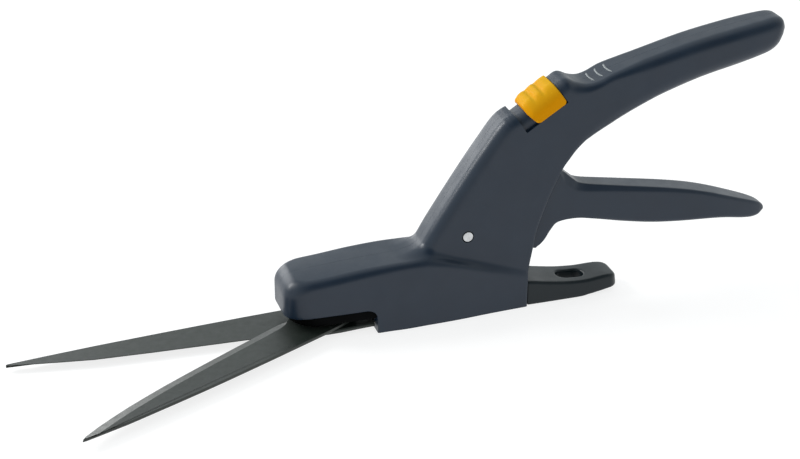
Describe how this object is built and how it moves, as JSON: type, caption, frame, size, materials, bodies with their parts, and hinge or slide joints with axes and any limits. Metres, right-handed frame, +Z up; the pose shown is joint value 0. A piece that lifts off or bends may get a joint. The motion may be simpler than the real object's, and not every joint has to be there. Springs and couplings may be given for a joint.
{
  "type": "grass shears",
  "caption": "One-hand grass shears: two long flat blades under a nose, a raised handle, a squeeze trigger, a thumb lock and a hang slot in the tail.",
  "frame": {"origin": "middle of the flat underside, on the ground plane", "axes": "+X towards the handle's end, -X towards the blade tips, +Z up out of the underside; the upper blade opens towards -Y"},
  "size_m": [0.3226, 0.0824, 0.1135],
  "materials": {
    "housing": "fine moulded texture, satin",
    "trigger": "fine moulded texture, satin",
    "chassis": "moulded, matte",
    "slider": "moulded, semi-gloss",
    "blade": "thin non-stick coating over steel",
    "pin": "bright turned end",
    "zinc": "zinc plated",
    "bar_steel": "rolled strip",
    "spring_steel": "drawn wire and spring strip",
    "nylon": "natural nylon"
  },
  "bodies": {
    "body": {"housing_near": "housing", "housing_far": "housing", "chassis": "chassis", "lower_blade": "blade", "pivot_bolt": "zinc", "pivot_nut": "zinc", "pivot_washer": "spring_steel", "pivot_spacer": "nylon", "trigger_pin": "pin", "pin_clip": "spring_steel", "return_spring": "spring_steel", "lock_spring": "spring_steel", "housing_screws": "zinc", "blade_rivets": "zinc"},
    "trigger": {"trigger": "trigger", "lever_pin": "zinc"},
    "upper_blade": {"upper_blade": "blade", "tang_pin": "zinc"},
    "pull_bar": {"pull_bar": "bar_steel"},
    "lock": {"lock_slider": "slider", "lock_rod": "bar_steel"}
  },
  "joints": [
    {"name": "trigger_squeeze", "type": "hinge", "parent": "body", "child": "trigger", "pos_m": [0.0074, 0, 0.0349], "axis": [0, -1, 0], "range_deg": [0, 22], "stiffness_Nm_per_rad": 2, "springref_deg": -17.19, "deforming": ["return_spring"]},
    {"name": "blade_swing", "type": "hinge", "parent": "body", "child": "upper_blade", "pos_m": [-0.052, 0, 0.0045], "axis": [0, 0, -1], "range_deg": [0, 32]},
    {"name": "pull_bar_slide", "type": "slide", "parent": "body", "child": "pull_bar", "axis": [1, 0, 0], "range_m": [0, 0.00425]},
    {"name": "lock_slide", "type": "slide", "parent": "body", "child": "lock", "axis": [-0.8387, 0, -0.5446], "range_m": [0, 0.004]}
  ],
  "couplings": [
    {"joint": "blade_swing", "follows": "trigger_squeeze", "ratio": 1.4545},
    {"joint": "pull_bar_slide", "follows": "trigger_squeeze", "m_per_rad": 0.01105}
  ]
}
